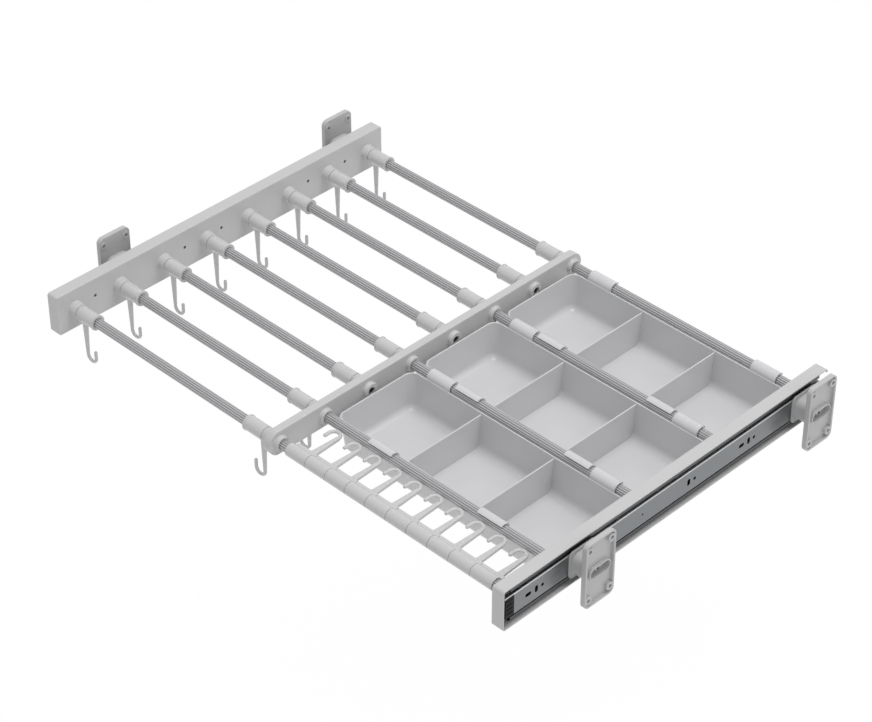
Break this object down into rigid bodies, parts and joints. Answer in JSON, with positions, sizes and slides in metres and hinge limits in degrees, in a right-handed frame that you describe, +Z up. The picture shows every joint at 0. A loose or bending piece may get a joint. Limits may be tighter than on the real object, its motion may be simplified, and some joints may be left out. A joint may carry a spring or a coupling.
{
  "type": "pull out trouser rack",
  "caption": "Pull-out wardrobe rack on ball-bearing slides: a bay of fluted trouser bars with end hooks beside a bay of lift-out divided trays and turning ring hooks.",
  "frame": {"origin": "centre of the left front bracket's screw pattern, on the plane of the left side panel; Z = 0 is the common height of the bars, slides and brackets", "axes": "+X across the cabinet from the left panel to the right one, +Y into the cabinet (the rack pulls out along -Y), +Z up"},
  "size_m": [0.746, 0.5, 0.106],
  "materials": {
    "bracket_paint": "die cast, smooth satin light grey paint",
    "frame_paint": "satin light grey paint on steel and aluminium",
    "bar_aluminium": "fluted extrusion, satin anodised",
    "hook_plastic": "moulded, satin light grey",
    "tray_plastic": "moulded, soft gloss bluish light grey",
    "slide_zinc": "bright zinc plated, rolled steel",
    "cage_steel": "pressed steel strip with polished balls",
    "black_plastic": "moulded, matte black",
    "screw_steel": "zinc plated",
    "dark_screw_steel": "blackened"
  },
  "bodies": {
    "fixed_sides": {"left_front_bracket": "bracket_paint", "left_rear_bracket": "bracket_paint", "right_front_bracket": "bracket_paint", "right_rear_bracket": "bracket_paint", "bracket_screws": "screw_steel", "left_inner_member": "slide_zinc", "right_inner_member": "slide_zinc", "left_stop": "black_plastic", "right_stop": "black_plastic"},
    "rack": {"left_rail": "frame_paint", "right_rail": "frame_paint", "middle_beam": "frame_paint", "beam_screws": "dark_screw_steel", "rail_screws": "screw_steel", "slide_screws": "dark_screw_steel", "left_outer_member": "slide_zinc", "right_outer_member": "slide_zinc", "bar_1": "bar_aluminium", "bar_2": "bar_aluminium", "bar_3": "bar_aluminium", "bar_4": "bar_aluminium", "bar_5": "bar_aluminium", "bar_6": "bar_aluminium", "bar_7": "bar_aluminium", "bar_8": "bar_aluminium", "left_end_hook_1": "hook_plastic", "left_end_hook_2": "hook_plastic", "left_end_hook_3": "hook_plastic", "left_end_hook_4": "hook_plastic", "left_end_hook_5": "hook_plastic", "left_end_hook_6": "hook_plastic", "left_end_hook_7": "hook_plastic", "left_end_hook_8": "hook_plastic", "right_end_hook_1": "hook_plastic", "right_end_hook_2": "hook_plastic", "right_end_hook_3": "hook_plastic", "right_end_hook_4": "hook_plastic", "right_end_hook_5": "hook_plastic", "right_end_hook_6": "hook_plastic", "right_end_hook_7": "hook_plastic", "right_end_hook_8": "hook_plastic"},
    "left_middle_member_body": {"left_middle_member": "slide_zinc"},
    "left_outer_cage_body": {"left_outer_cage": "cage_steel"},
    "left_inner_cage_body": {"left_inner_cage": "cage_steel"},
    "right_middle_member_body": {"right_middle_member": "slide_zinc"},
    "right_outer_cage_body": {"right_outer_cage": "cage_steel"},
    "right_inner_cage_body": {"right_inner_cage": "cage_steel"},
    "ring_hook_1_body": {"ring_hook_1": "hook_plastic"},
    "ring_hook_2_body": {"ring_hook_2": "hook_plastic"},
    "ring_hook_3_body": {"ring_hook_3": "hook_plastic"},
    "ring_hook_4_body": {"ring_hook_4": "hook_plastic"},
    "ring_hook_5_body": {"ring_hook_5": "hook_plastic"},
    "ring_hook_6_body": {"ring_hook_6": "hook_plastic"},
    "ring_hook_7_body": {"ring_hook_7": "hook_plastic"},
    "ring_hook_8_body": {"ring_hook_8": "hook_plastic"},
    "ring_hook_9_body": {"ring_hook_9": "hook_plastic"},
    "ring_hook_10_body": {"ring_hook_10": "hook_plastic"},
    "tray_front_body": {"tray_front": "tray_plastic"},
    "tray_middle_body": {"tray_middle": "tray_plastic"},
    "tray_rear_body": {"tray_rear": "tray_plastic"}
  },
  "joints": [
    {"name": "rack_slide", "type": "slide", "parent": "fixed_sides", "child": "rack", "axis": [0, -1, 0], "range_m": [0, 0.45]},
    {"name": "left_middle_member_slide", "type": "slide", "parent": "fixed_sides", "child": "left_middle_member_body", "axis": [0, -1, 0], "range_m": [0, 0.225]},
    {"name": "left_outer_cage_slide", "type": "slide", "parent": "fixed_sides", "child": "left_outer_cage_body", "axis": [0, -1, 0], "range_m": [0, 0.3375]},
    {"name": "left_inner_cage_slide", "type": "slide", "parent": "fixed_sides", "child": "left_inner_cage_body", "axis": [0, -1, 0], "range_m": [0, 0.1125]},
    {"name": "right_middle_member_slide", "type": "slide", "parent": "fixed_sides", "child": "right_middle_member_body", "axis": [0, -1, 0], "range_m": [0, 0.225]},
    {"name": "right_outer_cage_slide", "type": "slide", "parent": "fixed_sides", "child": "right_outer_cage_body", "axis": [0, -1, 0], "range_m": [0, 0.3375]},
    {"name": "right_inner_cage_slide", "type": "slide", "parent": "fixed_sides", "child": "right_inner_cage_body", "axis": [0, -1, 0], "range_m": [0, 0.1125]},
    {"name": "ring_hook_1_turn", "type": "hinge", "parent": "rack", "child": "ring_hook_1_body", "pos_m": [0.53, -0.088, 0], "axis": [-1, 0, 0], "continuous": true},
    {"name": "ring_hook_2_turn", "type": "hinge", "parent": "rack", "child": "ring_hook_2_body", "pos_m": [0.53, -0.088, 0], "axis": [-1, 0, 0], "continuous": true},
    {"name": "ring_hook_3_turn", "type": "hinge", "parent": "rack", "child": "ring_hook_3_body", "pos_m": [0.53, -0.088, 0], "axis": [-1, 0, 0], "continuous": true},
    {"name": "ring_hook_4_turn", "type": "hinge", "parent": "rack", "child": "ring_hook_4_body", "pos_m": [0.53, -0.088, 0], "axis": [-1, 0, 0], "continuous": true},
    {"name": "ring_hook_5_turn", "type": "hinge", "parent": "rack", "child": "ring_hook_5_body", "pos_m": [0.53, -0.088, 0], "axis": [-1, 0, 0], "continuous": true},
    {"name": "ring_hook_6_turn", "type": "hinge", "parent": "rack", "child": "ring_hook_6_body", "pos_m": [0.53, -0.088, 0], "axis": [-1, 0, 0], "continuous": true},
    {"name": "ring_hook_7_turn", "type": "hinge", "parent": "rack", "child": "ring_hook_7_body", "pos_m": [0.53, -0.088, 0], "axis": [-1, 0, 0], "continuous": true},
    {"name": "ring_hook_8_turn", "type": "hinge", "parent": "rack", "child": "ring_hook_8_body", "pos_m": [0.53, -0.088, 0], "axis": [-1, 0, 0], "continuous": true},
    {"name": "ring_hook_9_turn", "type": "hinge", "parent": "rack", "child": "ring_hook_9_body", "pos_m": [0.53, -0.088, 0], "axis": [-1, 0, 0], "continuous": true},
    {"name": "ring_hook_10_turn", "type": "hinge", "parent": "rack", "child": "ring_hook_10_body", "pos_m": [0.53, -0.088, 0], "axis": [-1, 0, 0], "continuous": true},
    {"name": "tray_front_lift", "type": "slide", "parent": "rack", "child": "tray_front_body", "axis": [0, 0, 1], "range_m": [0, 0.06]},
    {"name": "tray_middle_lift", "type": "slide", "parent": "rack", "child": "tray_middle_body", "axis": [0, 0, 1], "range_m": [0, 0.06]},
    {"name": "tray_rear_lift", "type": "slide", "parent": "rack", "child": "tray_rear_body", "axis": [0, 0, 1], "range_m": [0, 0.06]}
  ],
  "couplings": [
    {"joint": "left_middle_member_slide", "follows": "rack_slide", "ratio": 0.5},
    {"joint": "left_outer_cage_slide", "follows": "rack_slide", "ratio": 0.75},
    {"joint": "left_inner_cage_slide", "follows": "rack_slide", "ratio": 0.25},
    {"joint": "right_middle_member_slide", "follows": "rack_slide", "ratio": 0.5},
    {"joint": "right_outer_cage_slide", "follows": "rack_slide", "ratio": 0.75},
    {"joint": "right_inner_cage_slide", "follows": "rack_slide", "ratio": 0.25}
  ]
}
